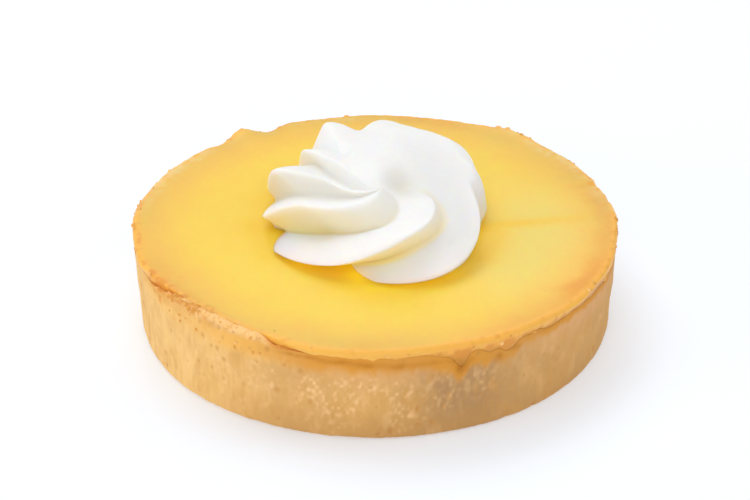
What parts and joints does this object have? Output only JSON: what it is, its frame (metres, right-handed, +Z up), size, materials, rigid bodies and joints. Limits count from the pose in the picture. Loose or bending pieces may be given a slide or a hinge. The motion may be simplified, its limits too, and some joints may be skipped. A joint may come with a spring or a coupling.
{
  "type": "lemon tart",
  "caption": "Individual lemon tart: a shallow round shortcrust shell with a smooth set lemon filling and a piped swirl of whipped cream on top.",
  "frame": {"origin": "centre of the flat base of the pastry shell, on the surface that the tart stands on", "axes": "+Z up through the tart, -Y towards the viewer of the picture, +X to the viewer's right"},
  "size_m": [0.1001, 0.1001, 0.0363],
  "materials": {
    "baked_pastry": "dry, fine crumb",
    "lemon_filling": "satin, browned towards the edge",
    "whipped_cream": "smooth, soft sheen"
  },
  "bodies": {
    "root": {"pastry_shell": "baked_pastry", "lemon_filling": "lemon_filling", "cream_rosette": "whipped_cream"}
  },
  "joints": []
}
